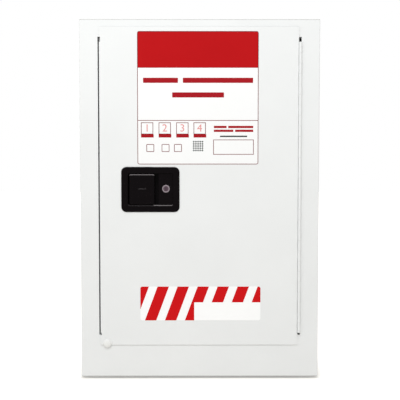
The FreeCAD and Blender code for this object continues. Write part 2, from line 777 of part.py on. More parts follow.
def build_earth():
    """Earth stud welded to the right side, with its washer and nut."""
    at = ("X", "inner_x", "earth_y", "earth_z")
    node(turned("earth_stud", *at, [
        ("0", "-earth_head"), ("earth_head_radius", "-earth_head"), ("earth_head_radius", "0"),
        ("earth_radius", "0"), ("earth_radius", "sheet + earth_length"), ("0", "sheet + earth_length")]))
    washer = turned("earth_washer", *at, [
        ("earth_radius + hole_play", "sheet"), ("earth_washer_radius", "sheet"),
        ("earth_washer_radius", "sheet + earth_washer"),
        ("earth_radius + hole_play", "sheet + earth_washer")])
    node(washer)
    prism = hexagon("earth_prism", "X", "earth_nut_flat", "earth_nut_thick", "half + earth_washer",
                    "earth_y", "earth_z")
    bore = rod("earth_bore", "X", "earth_radius + pin_play", "earth_nut_thick", "half + earth_washer",
               "earth_y", "earth_z")
    node(cut("earth_nut", prism, bore))


def feet():
    """Name and place of the four feet."""
    return tuple((f"{place}_{side_name}", f"{side} * foot_x", y)
                 for place, y in (("front", "foot_front_y"), ("back", "foot_back_y"))
                 for side_name, side in (("left", "-1"), ("right", "1")))


def build_feet():
    """Levelling feet: a pad and a stud each, in nuts welded inside the base."""
    nuts = []
    for name, x, y in feet():
        pad = turned(f"foot_pad_{name}", "Z", x, y, "0", [
            ("0", "0"), ("foot_radius - foot_round", "0"), ("foot_radius", "foot_round"),
            ("foot_radius", "foot_lift - foot_round"), ("foot_radius - foot_round", "foot_lift"),
            ("foot_stud_radius", "foot_lift"), ("foot_stud_radius", "foot_lift - foot_seat"),
            ("0", "foot_lift - foot_seat")])
        node(pad)
        node(rod(f"foot_stud_{name}", "Z", "foot_stud_radius", "foot_stud_length", x, y,
                 "foot_lift - foot_seat"))
        prism = hexagon(f"foot_prism_{name}", "Z", "foot_nut_flat", "foot_nut_thick", x, y, "base_top")
        bore = rod(f"foot_bore_{name}", "Z", "foot_stud_radius + pin_play", "foot_nut_thick", x, y,
                   "base_top")
        nuts.append(cut(f"foot_nut_{name}", prism, bore))
    node(fuse("foot_nuts", *nuts))


def build_hinge():
    """Two leaves with interleaved knuckles, the pin through them and the rivets that hold the leaves."""
    knuckles = {"frame": [], "door": []}
    leaf_x = {"frame": ("jamb_x - hinge_leaf", "jamb_x"), "door": ("door_right", "door_right + hinge_leaf")}
    for number in range(int(value("knuckle_count"))):
        owner = ("frame", "door")[number % 2]
        low = f"hinge_low + {number} * knuckle_pitch + knuckle_gap / 2"
        length = "knuckle_pitch - knuckle_gap"
        barrel = rod(f"knuckle_{number}", "Z", "knuckle_radius", length, "axis_x", "axis_y", low)
        tab = box(f"knuckle_tab_{number}", *leaf_x[owner], "axis_y", "leaf_front", low, f"{low} + {length}")
        knuckles[owner] += [barrel, tab]
    for owner, start, axis in (("frame", "jamb_x - hinge_leaf", "X"),
                               ("door", "door_right + hinge_leaf", "-X")):
        plate = box(f"{owner}_leaf_plate", *leaf_x[owner], "leaf_front", "leaf_back", "hinge_low",
                    "hinge_high")
        solid = fuse(f"{owner}_leaf_solid", plate, *knuckles[owner])
        cuts = [rod(f"{owner}_leaf_bore", "Z", "hinge_pin_radius + pin_play", "hinge_high - hinge_low",
                    "axis_x", "axis_y", "hinge_low")]
        rivets = []
        for number in range(int(value("rivet_count"))):
            level = f"hinge_low + rivet_margin + {number} * rivet_pitch"
            cuts.append(rod(f"{owner}_leaf_hole_{number}", axis, "rivet_radius + hole_play", "hinge_leaf",
                            start, "rivet_y", level))
            rivets.append(turned(f"{owner}_rivet_{number}", axis, start, "rivet_y", level, [
                ("0", "-rivet_head"), ("rivet_head_radius / 2", "-rivet_head"),
                ("rivet_head_radius", "-rivet_head / 3"), ("rivet_head_radius", "0"), ("rivet_radius", "0"),
                ("rivet_radius", "hinge_leaf + sheet"), ("rivet_tail_radius", "hinge_leaf + sheet"),
                ("rivet_tail_radius", "hinge_leaf + sheet + rivet_tail"),
                ("0", "hinge_leaf + sheet + rivet_tail")]))
        node(cut(f"hinge_{owner}_leaf", solid, *cuts))
        node(fuse(f"{owner}_leaf_rivets", *rivets))
    node(rod("hinge_pin", "Z", "hinge_pin_radius", "hinge_high - hinge_low", "axis_x", "axis_y", "hinge_low"))


def build_keepers():
    """Keeper plates behind the header and the sill, each open to the front."""
    plates = []
    for name, x, low in (("top", "rod_top_x", "jamb_top + sheet"),
                         ("bottom", "rod_bottom_x", "jamb_bottom - sheet - keeper_thick")):
        plate = box(f"keeper_plate_{name}", f"{x} - keeper_wide / 2", f"{x} + keeper_wide / 2",
                    "inner_front + keeper_set_back", "stop_front", low, f"{low} + keeper_thick")
        slot = box(f"keeper_slot_{name}", f"{x} - keeper_slot / 2", f"{x} + keeper_slot / 2",
                   "inner_front + keeper_set_back", "rod_y + keeper_slot / 2", low, f"{low} + keeper_thick")
        plates.append(cut(f"keeper_{name}", plate, slot))
    node(fuse("rod_keepers", *plates))


def rod_holes(label):
    """Clearance for the two rods through the door's top and bottom edges."""
    return [rod(f"{label}_rod_hole_top", "Z", "rod_hole", "2 * sheet + door_end_gap", "rod_top_x", "rod_y",
                "door_top - 2 * sheet"),
            rod(f"{label}_rod_hole_bottom", "Z", "rod_hole", "2 * sheet + door_end_gap", "rod_bottom_x",
                "rod_y", "door_bottom - door_end_gap")]


def build_door():
    """Door skin with its edges and lips, the inner panel, stiffeners and what is stuck to the front."""
    shell = block("door_shell", "door_left", "door_right", "door_front", "panel_front",
                  "door_bottom", "door_top", ("bend_outside", "left front", "right front"))
    hollow = block("door_hollow", "door_left + sheet", "door_right - sheet", "skin_back", "panel_front",
                   "door_bottom + sheet", "door_top - sheet", ("bend_inside", "left front", "right front"))
    lips = block("door_lips", "door_left", "door_right", "door_front", "skin_back", "lip_bottom", "lip_top",
                 ("sheet / 3", "front bottom", "front top"))
    window = box("door_window", "door_left", "door_right", "door_front", "skin_back", "door_bottom",
                 "door_top")
    cuts = [
        box("relief_upper", "door_left", "door_left + relief_wide", "door_front", "face + relief_deep",
            "jamb_top - relief_top", "jamb_top"),
        box("relief_lower", "door_left", "door_left + relief_wide", "door_front", "face + relief_deep",
            "jamb_bottom", "jamb_bottom + relief_bottom"),
        box("pan_window", "well_left - latch_wall - latch_play", "well_right + latch_wall + latch_play",
            "door_front", "skin_back", "well_low - latch_wall - latch_play",
            "well_high + latch_wall + latch_play"),
        rod("dome_hole", "Y", "dome_stem_radius + hole_play", "sheet", "door_left + dome_edge", "door_front",
            "lip_bottom + dome_rise"),
    ]
    for number in range(int(value("rivet_count"))):
        cuts.append(rod(f"door_rivet_hole_{number}", "-X", "rivet_radius + hole_play", "sheet", "door_right",
                        "rivet_y", f"hinge_low + rivet_margin + {number} * rivet_pitch"))
    skin = fuse("door_bent", cut("door_box", shell, hollow), cut("door_lip_pair", lips, window))
    node(cut("door_skin", skin, *cuts, *rod_holes("skin")))

    tray = block("panel_tray", "door_left + sheet", "door_right - sheet", "door_back - door_flange",
                 "door_back", "door_bottom + sheet", "door_top - sheet",
                 ("sheet / 2", "left back", "right back", "back top", "back bottom"))
    tray_hollow = box("panel_hollow", "door_left + 2 * sheet", "door_right - 2 * sheet",
                      "door_back - door_flange", "panel_front", "door_bottom + 2 * sheet",
                      "door_top - 2 * sheet")
    access = block("panel_access", "cover_left", "cover_right", "panel_front", "door_back", "cover_low",
                   "cover_high")
    pilot = [rod(f"panel_{name}", "Y", "screw_radius + pin_play", "sheet", x, "panel_front", z)
             for name, x, z in cover_screws()]
    node(cut("door_inner_panel", tray, tray_hollow, access, *pilot, *rod_holes("panel")))

    stiffeners = []
    for number in range(int(value("stiffener_count"))):
        start = f"stiffener_last - {number} * stiffener_pitch"
        stiffeners.append(tube(f"stiffener_{number}", "Z", start, f"{start} + stiffener_wide", "skin_back",
                               "panel_front", "door_bottom + stiffener_gap", "door_top - stiffener_gap",
                               "stiffener_wall"))
    node(fuse("door_stiffeners", *stiffeners))

    corners = ("sticker_corner", "left top", "right top", "left bottom", "right bottom")
    node(block("door_label", "door_left + label_edge", "door_right - label_hinge_edge",
               "sticker_front", "door_front", "label_low", "label_high", corners))
    node(block("door_stripe_sticker", "door_left + stripe_edge", "door_right - stripe_hinge_edge",
               "sticker_front", "door_front", "stripe_low", "stripe_low + stripe_height", corners))
    arch = [(f"dome_radius * cos({turn} deg)", f"dome_rim + (dome_height - dome_rim) * sin({turn} deg)")
            for turn in (0, 30, 60)]
    node(turned("door_dome", "-Y", "door_left + dome_edge", "door_front", "lip_bottom + dome_rise", [
        ("0", "-sheet"), ("dome_stem_radius", "-sheet"), ("dome_stem_radius", "0"), ("dome_radius", "0"),
        *arch, ("0", "dome_height")]))


def cover_screws():
    """Name and place of the access cover's four screws."""
    return tuple((f"screw_{side}_{level}", x, z)
                 for side, x in (("left", "cover_left - cover_screw_inset"),
                                 ("right", "cover_right + cover_screw_inset"))
                 for level, z in (("low", "cover_low - cover_screw_inset"),
                                  ("high", "cover_high + cover_screw_inset")))


def build_cover():
    """Cover plate over the latch's works, on the inside of the door, with its screws."""
    plate = block("cover_plate", "cover_left - cover_lap", "cover_right + cover_lap", "door_back",
                  "door_back + sheet", "cover_low - cover_lap", "cover_high + cover_lap",
                  ("cover_lap / 2", "left top", "right top", "left bottom", "right bottom"))
    holes = []
    screws = []
    for name, x, z in cover_screws():
        holes.append(rod(f"cover_{name}", "Y", "screw_radius + hole_play", "sheet", x, "door_back", z))
        screws.append(turned(f"cover_{name}_turned", "Y", x, "door_back + sheet", z, [
            ("0", "-screw_long"), ("screw_radius", "-screw_long"), ("screw_radius", "0"),
            ("screw_head_radius", "0"), ("screw_head_radius", "screw_head / 2"),
            ("screw_head_radius / 2", "screw_head"), ("0", "screw_head")]))
    node(cut("latch_access_cover", plate, *holes))
    node(fuse("cover_screws", *screws))


def build_latch_pan():
    """Black pan with its flange, well and lock pedestal, and the clamps behind the skin."""
    flange = block("pan_flange", "latch_left", "latch_right", "pan_front", "door_front", "latch_low",
                   "latch_high", ("latch_corner", "left top", "right top", "left bottom", "right bottom"))
    tub = block("pan_tub", "well_left - latch_wall", "well_right + latch_wall", "door_front", "pan_back",
                "well_low - latch_wall", "well_high + latch_wall",
                ("well_corner + latch_wall", "left top", "right top", "left bottom", "right bottom"))
    well = block("pan_well", "well_left", "well_right", "pan_front", "well_back", "well_low", "well_high",
                 ("well_corner", "left top", "right top", "left bottom", "right bottom"))
    pedestal = block("pan_pedestal", "pedestal_left", "well_right + latch_wall / 2", "pedestal_front",
                     "pan_back", "well_low - latch_wall / 2", "well_high + latch_wall / 2",
                     ("pedestal_round", "left front"))
    pedestal_hollow = box("pan_pedestal_hollow", "pedestal_left + latch_wall", "well_right",
                          "pedestal_front + latch_wall", "pan_back", "well_low", "well_high")
    tail_slot = box("pan_tail_slot", "pivot_x - tail_radius - tail_play",
                    "pivot_x + tail_length * sin(paddle_opening_deg * 1 deg) + tail_radius + tail_play",
                    "well_back", "pan_back", "tab_z - tail_tall / 2 - tail_play",
                    "tab_z + tail_tall / 2 + tail_play")
    lock_bore = rod("pan_lock_bore", "Y", "lock_radius + hole_play", "latch_wall", "lock_x", "pedestal_front",
                    "lock_z")
    pin_bore = rod("pan_pin_bore", "Z", "paddle_pin_radius + pin_play",
                   "well_high - well_low + 2 * latch_wall",
                   "pivot_x", "pivot_y", "well_low - latch_wall")
    post_bore = rod("pan_post_bore", "Y", "post_radius + pin_play", "latch_wall", "actuator_x", "well_back",
                    "actuator_z")
    shell = cut("pan_shell", fuse("pan_mass", flange, tub), well)
    raised = cut("pan_raised", fuse("pan_with_pedestal", shell, pedestal), pedestal_hollow)
    rim = rounded("pan_rim", raised, ("well_round", "front inner"), ("latch_rim_round", "front rim"))
    node(cut("latch_pan", rim, tail_slot, lock_bore, pin_bore, post_bore))

    clamps = []
    middle = "(latch_left + latch_right) / 2"
    for name, edge, way in (("top", "well_high + latch_wall", 1), ("bottom", "well_low - latch_wall", -1)):
        feet_ends = [edge, f"{edge} + {way} * clamp_foot"][::way]
        arm_ends = [edge, f"{edge} + {way} * clamp_thick"][::way]
        foot = box(f"clamp_foot_{name}", f"{middle} - clamp_wide / 2", f"{middle} + clamp_wide / 2",
                   "skin_back", "skin_back + clamp_thick", *feet_ends)
        arm = box(f"clamp_arm_{name}", f"{middle} - clamp_wide / 2", f"{middle} + clamp_wide / 2",
                  "skin_back", "skin_back + clamp_arm", *arm_ends)
        clamps.append(fuse(f"clamp_{name}", foot, arm))
    node(fuse("latch_clamps", *clamps))


def build_lock():
    """Cylinder lock in the pedestal: body, nut, plug with its key slot, and cam."""
    at = ("Y", "lock_x", "pedestal_front", "lock_z")
    node(turned("lock_body", *at, [
        ("plug_radius + plug_play", "-lock_head"), ("lock_head_radius - lock_bezel", "-lock_head"),
        ("lock_head_radius", "lock_bezel - lock_head"), ("lock_head_radius", "0"), ("lock_radius", "0"),
        ("lock_radius", "lock_length"), ("plug_radius + plug_play", "lock_length")]))
    prism = hexagon("lock_prism", "Y", "lock_nut_flat", "lock_nut_thick", "lock_x",
                    "pedestal_front + latch_wall", "lock_z")
    bore = rod("lock_nut_bore", "Y", "lock_radius + pin_play", "lock_nut_thick", "lock_x",
               "pedestal_front + latch_wall", "lock_z")
    node(cut("lock_nut", prism, bore))
    plug = rod("plug_blank", "Y", "plug_radius", "lock_length + lock_head - lock_bezel / 2 + plug_tail",
               "lock_x", "pedestal_front - lock_head + lock_bezel / 2", "lock_z")
    slot = box("key_slot", "lock_x - key_slot_wide / 2", "lock_x + key_slot_wide / 2",
               "pedestal_front - lock_head", "pedestal_front - lock_head + key_slot_deep",
               "lock_z - key_slot_long / 2", "lock_z + key_slot_long / 2")
    square = box("plug_square_keep", "lock_x - plug_radius / 2", "lock_x + plug_radius / 2",
                 "lock_back + pin_play", "lock_back + plug_tail", "lock_z - plug_radius / 2",
                 "lock_z + plug_radius / 2")
    collar = rod("plug_tail_collar", "Y", "plug_radius", "plug_tail - pin_play", "lock_x",
                 "lock_back + pin_play", "lock_z")
    tail_cut = cut("plug_tail_cut", collar, square)
    node(cut("lock_plug", plug, slot, tail_cut))
    plate = box("cam_plate", "lock_x - cam_wide / 2", "lock_x + cam_wide / 2",
                "lock_back + plug_tail - cam_thick", "lock_back + plug_tail", "lock_z - cam_long", "lock_z")
    eye = rod("cam_eye", "Y", "cam_wide / 2", "cam_thick", "lock_x", "lock_back + plug_tail - cam_thick",
              "lock_z")
    hole = box("cam_hole", "lock_x - plug_radius / 2 - pin_play", "lock_x + plug_radius / 2 + pin_play",
               "lock_back", "lock_back + plug_tail", "lock_z - plug_radius / 2 - pin_play",
               "lock_z + plug_radius / 2 + pin_play")
    node(cut("lock_cam", fuse("cam_solid", plate, eye), hole))


def build_paddle():
    """Paddle with its hub, tail and finger edge, its pin and its torsion spring."""
    plate = block("paddle_plate_block", "paddle_left", "paddle_right", "paddle_front",
                  "paddle_front + paddle_plate", "paddle_low", "paddle_high",
                  ("well_corner", "left top", "right top", "left bottom", "right bottom"),
                  ("paddle_round", "front"))
    grip = box("paddle_grip_wall", "paddle_right - paddle_plate", "paddle_right",
               "paddle_front + paddle_round", "paddle_front + paddle_grip",
               "paddle_low + well_corner", "paddle_high - well_corner")
    hub_low = "paddle_low + paddle_plate"
    hub_high = "paddle_high - paddle_plate"
    hub = rod("paddle_hub", "Z", "paddle_hub_radius", f"{hub_high} - ({hub_low})", "pivot_x", "pivot_y",
              hub_low)
    web = box("paddle_web", "pivot_x - paddle_hub_radius / 2", "pivot_x + paddle_hub_radius / 2",
              "paddle_front + paddle_plate / 2", "pivot_y", hub_low, hub_high)
    gap = box("paddle_hub_gap", "pivot_x - 2 * paddle_hub_radius", "pivot_x + 2 * paddle_hub_radius",
              "paddle_front + paddle_plate", "pivot_y + 2 * paddle_hub_radius", "latch_height - 2 * hub_gap",
              "latch_height - hub_gap")
    tail = box("paddle_tail", "pivot_x - tail_radius / 2", "pivot_x + tail_radius / 2", "pivot_y",
               "pivot_y + tail_length", "tab_z - tail_tall / 2", "tab_z + tail_tall / 2")
    tip = rod("paddle_tail_tip", "Z", "tail_radius", "tail_tall", "pivot_x", "pivot_y + tail_length",
              "tab_z - tail_tall / 2")
    rib = block("paddle_rib", "(paddle_left + paddle_right - paddle_rib_long) / 2",
                "(paddle_left + paddle_right + paddle_rib_long) / 2", "paddle_front - paddle_rib_proud",
                "paddle_front + paddle_plate / 2", "latch_height + paddle_rib_rise - paddle_rib_tall / 2",
                "latch_height + paddle_rib_rise + paddle_rib_tall / 2", ("paddle_rib_round", "front"))
    bore = rod("paddle_bore", "Z", "paddle_pin_radius + pin_play", f"{hub_high} - ({hub_low})", "pivot_x",
               "pivot_y", hub_low)
    node(cut("latch_paddle", fuse("paddle_solid", plate, grip, hub, web, tail, tip, rib), bore, gap))
    node(rod("paddle_pin", "Z", "paddle_pin_radius", "well_high - well_low + 2 * latch_wall", "pivot_x",
             "pivot_y", "well_low - latch_wall"))

    helix = doc.addObject("Part::Helix", "spring_path")
    helix.setExpression("Radius", bind("spring_radius"))
    helix.setExpression("Pitch", bind("(hub_gap - 4 * spring_wire) / spring_turn_count"))
    helix.setExpression("Height", bind("hub_gap - 4 * spring_wire"))
    put(helix, "Z", "pivot_x", "pivot_y", "latch_height - 2 * hub_gap + 2 * spring_wire")
    section = doc.addObject("Part::Circle", "spring_section")
    section.setExpression("Radius", bind("spring_wire"))
    put(section, "-Y", "pivot_x + spring_radius", "pivot_y", "latch_height - 2 * hub_gap + 2 * spring_wire")
    spring = doc.addObject("Part::Sweep", "paddle_spring")
    doc.recompute()
    spring.Sections = [section]
    spring.Spine = (helix, [f"Edge{number}" for number in range(1, len(helix.Shape.Edges) + 1)])
    spring.Solid = True
    spring.Frenet = True
    node(spring)


def build_actuator():
    """Plate behind the pan that turns on a post, pushed by the paddle's tail, and moves both rods."""
    thick = "actuator_thick"
    arms = [
        box("arm_across", "rod_bottom_x", "rod_top_x", "actuator_front", "actuator_back",
            "actuator_z - arm_half", "actuator_z + arm_half"),
        box("arm_up", "actuator_x - arm_half", "actuator_x + arm_half", "actuator_front", "actuator_back",
            "actuator_z", "tab_z"),
        rod("arm_end_left", "Y", "arm_half", thick, "rod_bottom_x", "actuator_front", "actuator_z"),
        rod("arm_end_right", "Y", "arm_half", thick, "rod_top_x", "actuator_front", "actuator_z"),
        rod("arm_end_top", "Y", "arm_half", thick, "actuator_x", "actuator_front", "tab_z"),
        rod("arm_tab", "-Y", "tab_radius", "tab_long + actuator_thick / 2", "actuator_x",
            "actuator_front + actuator_thick / 2", "tab_z"),
        rod("arm_pin_left", "-Y", "tab_radius", "rod_pin_long + actuator_thick / 2", "rod_bottom_x",
            "actuator_front + actuator_thick / 2", "actuator_z"),
        rod("arm_pin_right", "-Y", "tab_radius", "rod_pin_long + actuator_thick / 2", "rod_top_x",
            "actuator_front + actuator_thick / 2", "actuator_z"),
    ]
    bore = rod("arm_bore", "Y", "post_radius + pin_play", thick, "actuator_x", "actuator_front", "actuator_z")
    node(cut("latch_actuator", fuse("arm_solid", *arms), bore))
    post = "actuator_front - well_back"
    node(turned("actuator_post", "Y", "actuator_x", "well_back", "actuator_z", [
        ("0", "0"), ("post_radius", "0"), ("post_radius", "latch_wall"), ("post_shoulder", "latch_wall"),
        ("post_shoulder", f"{post} - pin_play"), ("post_radius", f"{post} - pin_play"),
        ("post_radius", f"{post} + actuator_thick + pin_play"),
        ("post_head_radius", f"{post} + actuator_thick + pin_play"),
        ("post_head_radius", f"{post} + actuator_thick + pin_play + post_head"),
        ("0", f"{post} + actuator_thick + pin_play + post_head")]))


def build_rods():
    """Top and bottom rods, each with a slotted lug on the actuator's pin, and their guides."""
    for name, x, tip, way, axis in (("top", "rod_top_x", "rod_top_tip", 1, "Z"),
                                    ("bottom", "rod_bottom_x", "rod_bottom_tip", -1, "-Z")):
        start = f"actuator_z + {way} * (arm_half + rod_radius)"
        length = f"{way} * ({tip} - ({start}))"
        bar = rod(f"rod_bar_{name}", axis, "rod_radius", f"{length} - rod_radius / 2", x, "rod_y", start)
        nose = doc.addObject("Part::Cone", f"rod_nose_{name}")
        nose.setExpression("Radius1", bind("rod_radius"))
        nose.setExpression("Radius2", bind("rod_radius / 2"))
        nose.setExpression("Height", bind("rod_radius / 2"))
        put(nose, axis, x, "rod_y", f"{tip} - {way} * rod_radius / 2")
        ends = [f"actuator_z - {way} * rod_lug_half", f"{start} + {way} * rod_radius"][::way]
        lug = box(f"rod_lug_{name}", f"{x} - rod_lug_half", f"{x} + rod_lug_half", "rod_y - rod_lug / 2",
                  "rod_y + rod_lug / 2", *ends)
        slot = box(f"rod_slot_{name}", f"{x} - rod_slot_half", f"{x} + rod_slot_half", "rod_y - rod_lug / 2",
                   "rod_y + rod_lug / 2", "actuator_z - tab_radius - rod_slot_play",
                   "actuator_z + tab_radius + rod_slot_play")
        node(cut(f"rod_{name}", fuse(f"rod_solid_{name}", bar, nose, lug), slot))
    guides = []
    for name, x, low in (("top", "rod_top_x", "door_top - guide_inset - guide_tall"),
                         ("bottom", "rod_bottom_x", "door_bottom + guide_inset")):
        guide = box(f"guide_block_{name}", f"{x} - guide_wide / 2", f"{x} + guide_wide / 2",
                    "rod_y - rod_hole - latch_wall", "panel_front", low, f"{low} + guide_tall")
        hole = rod(f"guide_hole_{name}", "Z", "rod_hole", "guide_tall", x, "rod_y", low)
        guides.append(cut(f"guide_{name}", guide, hole))
    node(fuse("rod_guides", *guides))


def write_steps():
    """Check every object, then write one file for each sub-part."""
    doc.recompute()
    for item in doc.Objects:
        if "Invalid" in item.State or "Error" in item.State:
            raise RuntimeError(f"{item.Label} failed: {item.State}")
    names = [piece.Label for piece in nodes]
    if len(set(names)) != len(names):
        raise RuntimeError("two sub-parts share a name")
    for piece in nodes:
        if piece.Shape.isNull() or not piece.Shape.isValid():
            raise RuntimeError(f"{piece.Label} has no valid shape")
    os.makedirs("parts", exist_ok=True)
    for piece in nodes:
        piece.Shape.exportStep(os.path.join("parts", piece.Label + ".step"))


build_case()
build_liner()
build_shelf()
build_vents()
build_earth()
build_feet()
build_hinge()
build_keepers()
build_door()
build_cover()
build_latch_pan()
build_lock()
build_paddle()
build_actuator()
build_rods()
write_steps()
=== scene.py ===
import json
import math

import bmesh
import bpy
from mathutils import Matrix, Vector


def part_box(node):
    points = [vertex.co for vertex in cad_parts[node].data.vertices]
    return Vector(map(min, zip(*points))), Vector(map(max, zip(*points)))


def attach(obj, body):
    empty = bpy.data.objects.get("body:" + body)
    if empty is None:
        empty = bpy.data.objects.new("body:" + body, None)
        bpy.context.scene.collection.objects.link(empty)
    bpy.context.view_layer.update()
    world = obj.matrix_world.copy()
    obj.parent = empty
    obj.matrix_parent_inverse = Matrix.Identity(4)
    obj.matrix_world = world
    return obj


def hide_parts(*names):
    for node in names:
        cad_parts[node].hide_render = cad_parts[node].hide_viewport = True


# Looks of a white one-door safety cabinet, in metres. The door faces -Y and +Z is up.
MM = 0.001

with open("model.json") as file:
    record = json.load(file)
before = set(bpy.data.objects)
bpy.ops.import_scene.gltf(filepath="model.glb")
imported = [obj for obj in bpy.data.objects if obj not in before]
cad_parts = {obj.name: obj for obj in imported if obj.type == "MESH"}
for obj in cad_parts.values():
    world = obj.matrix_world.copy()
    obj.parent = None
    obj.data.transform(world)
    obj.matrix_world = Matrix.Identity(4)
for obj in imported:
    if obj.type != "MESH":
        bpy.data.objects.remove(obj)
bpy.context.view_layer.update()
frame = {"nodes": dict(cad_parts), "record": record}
nodes = frame["nodes"]


def srgb(red, green, blue):
    """A colour written in 8-bit display values, as the shaders need it."""
    def linear(value):
        share = value / 255
        return share / 12.92 if share <= 0.04045 else ((share + 0.055) / 1.055) ** 2.4
    return linear(red), linear(green), linear(blue), 1.0


# Node helpers. Grain is even, or drawn out along one axis, and most noise lies in the span given here.
EVEN = (1.0, 1.0, 1.0)
ALONG_X = (0.05, 1.0, 1.0)
ALONG_Y = (1.0, 0.05, 1.0)
ALONG_Z = (1.0, 1.0, 0.05)
WHITE = (1.0, 1.0, 1.0, 1.0)
RISING = (0.0, 1.0)
FALLING = (1.0, 0.0)
NOISE_SPAN = (0.3, 0.7)
SPANGLE = 9 * MM


def add_node(tree, kind, **settings):
    """A shader node with its properties and input values set."""
    made = tree.nodes.new(kind)
    for name, setting in settings.items():
        if hasattr(made, name):
            setattr(made, name, setting)
        else:
            made.inputs[name.replace("_", " ")].default_value = setting
    return made


def new_material(name, colour, roughness, metallic=0.0, specular=0.5):
    """A material with a plain Principled shader to build on."""
    made = bpy.data.materials.new(name)
    made.use_nodes = True
    shader = shader_of(made)
    shader.inputs["Base Color"].default_value = colour
    shader.inputs["Roughness"].default_value = roughness
    shader.inputs["Metallic"].default_value = metallic
    shader.inputs["Specular IOR Level"].default_value = specular
    return made


def shader_of(made):
    return made.node_tree.nodes["Principled BSDF"]


def place_of(made, stretch):
    """The piece's own coordinates, in metres, stretched for grain that runs one way."""
    tree = made.node_tree
    coordinates = add_node(tree, "ShaderNodeTexCoord")
    mapping = add_node(tree, "ShaderNodeMapping", Scale=stretch)
    tree.links.new(coordinates.outputs["Object"], mapping.inputs["Vector"])
    return mapping.outputs["Vector"]


def noise(made, grain, detail=2.0, stretch=EVEN):
    """Noise whose lumps are about one grain across."""
    tree = made.node_tree
    texture = add_node(tree, "ShaderNodeTexNoise", Scale=1 / grain, Detail=detail)
    tree.links.new(place_of(made, stretch), texture.inputs["Vector"])
    return texture.outputs["Fac"]


def map_range(made, source, span, result=RISING, eased=True):
    """A value carried from one span to another."""
    tree = made.node_tree
    kind = "SMOOTHSTEP" if eased else "LINEAR"
    ranged = add_node(tree, "ShaderNodeMapRange", interpolation_type=kind, From_Min=span[0], From_Max=span[1],
                      To_Min=result[0], To_Max=result[1])
    tree.links.new(source, ranged.inputs["Value"])
    return ranged.outputs["Result"]


def multiply(made, first, second):
    tree = made.node_tree
    product = add_node(tree, "ShaderNodeMath", operation="MULTIPLY")
    tree.links.new(first, product.inputs[0])
    tree.links.new(second, product.inputs[1])
    return product.outputs["Value"]


def along_axes(made, kind):
    """The surface's normal, or its place in the piece, along each axis."""
    tree = made.node_tree
    surface = add_node(tree, "ShaderNodeTexCoord")
    axes = add_node(tree, "ShaderNodeSeparateXYZ")
    tree.links.new(surface.outputs[kind], axes.inputs["Vector"])
    return axes.outputs


def lay_over(made, colour, share):
    """Another colour over the one that the shader has so far."""
    tree = made.node_tree
    base = shader_of(made).inputs["Base Color"]
    mix = add_node(tree, "ShaderNodeMix", data_type="RGBA")
    mix.inputs["A"].default_value = base.default_value
    mix.inputs["B"].default_value = colour
    if base.is_linked:
        tree.links.new(base.links[0].from_socket, mix.inputs["A"])
    tree.links.new(share, mix.inputs["Factor"])
    tree.links.new(mix.outputs["Result"], base)


def vary_colour(made, source, shade):
    """Base colour that wanders towards another one."""
    lay_over(made, shade, map_range(made, source, NOISE_SPAN, eased=False))


def vary_roughness(made, source, low, high):
    ranged = map_range(made, source, NOISE_SPAN, (low, high), eased=False)
    made.node_tree.links.new(ranged, shader_of(made).inputs["Roughness"])


def add_bump(made, source, height):
    """Bump of a real height in metres."""
    tree = made.node_tree
    bump = add_node(tree, "ShaderNodeBump", Strength=1.0, Distance=height)
    tree.links.new(source, bump.inputs["Height"])
    tree.links.new(bump.outputs["Normal"], shader_of(made).inputs["Normal"])


# Painted shade and painted highlights on bends. A tilt is the upward part of the surface's normal: 0 on an
# upright face, 1 on a level one.
BEND_TILT = (0.04, 0.35)
LEVEL_TILT = (0.90, 0.995)
# Tilt, fade, depth and overlap of the painted highlight on the pan's lip beside the paddle.
HIGHLIGHT_TILT = (0.3, 0.7)
HIGHLIGHT_FADE = 3 * MM
HIGHLIGHT_DEPTH = 14 * MM
HIGHLIGHT_LAP = 4 * MM


def tint_level_bends(made, colour, both_ways=True):
    """A colour on the bends that run level, or only on those that face up: painted shade on the white coat, a
    painted highlight on the black one.
    """
    tilt = along_axes(made, "Normal")["Z"]
    if both_ways:
        size = add_node(made.node_tree, "ShaderNodeMath", operation="ABSOLUTE")
        made.node_tree.links.new(tilt, size.inputs[0])
        tilt = size.outputs["Value"]
    bent = map_range(made, tilt, BEND_TILT)
    sloped = map_range(made, tilt, LEVEL_TILT, FALLING)
    lay_over(made, colour, multiply(made, bent, sloped))


def rub_beside(made, colour, start_x, end_y):
    """A painted highlight on what turns up right of one place and in front of another."""
    place = along_axes(made, "Object")
    turned_up = map_range(made, along_axes(made, "Normal")["Z"], HIGHLIGHT_TILT)
    beside = map_range(made, place["X"], (start_x, start_x + HIGHLIGHT_FADE))
    ahead = map_range(made, place["Y"], (end_y - HIGHLIGHT_FADE, end_y), FALLING)
    lay_over(made, colour, multiply(made, multiply(made, turned_up, beside), ahead))


# Materials

def powder_coat(name, colour, shade):
    """Satin powder coat on sheet steel: faint orange peel, a slight drift of tone and painted shade on the
    level bends.
    """
    made = new_material(name, colour, roughness=0.38, specular=0.3)
    vary_colour(made, noise(made, grain=160 * MM, detail=3.0), shade)
    tint_level_bends(made, COAT_BEND_SHADE)
    vary_roughness(made, noise(made, grain=45 * MM, detail=4.0), low=0.34, high=0.44)
    add_bump(made, noise(made, grain=1.6 * MM), height=0.012 * MM)
    return made


def black_coat(name, edge_highlight):
    """Fine-textured black coat on the cast latch, with a painted grey highlight along the rounded edges that
    face up.
    """
    made = new_material(name, LATCH_BLACK, roughness=0.3, specular=0.06)
    tint_level_bends(made, edge_highlight, both_ways=False)
    vary_roughness(made, noise(made, grain=14 * MM, detail=3.0), low=0.24, high=0.36)
    add_bump(made, noise(made, grain=0.5 * MM), height=0.01 * MM)
    return made


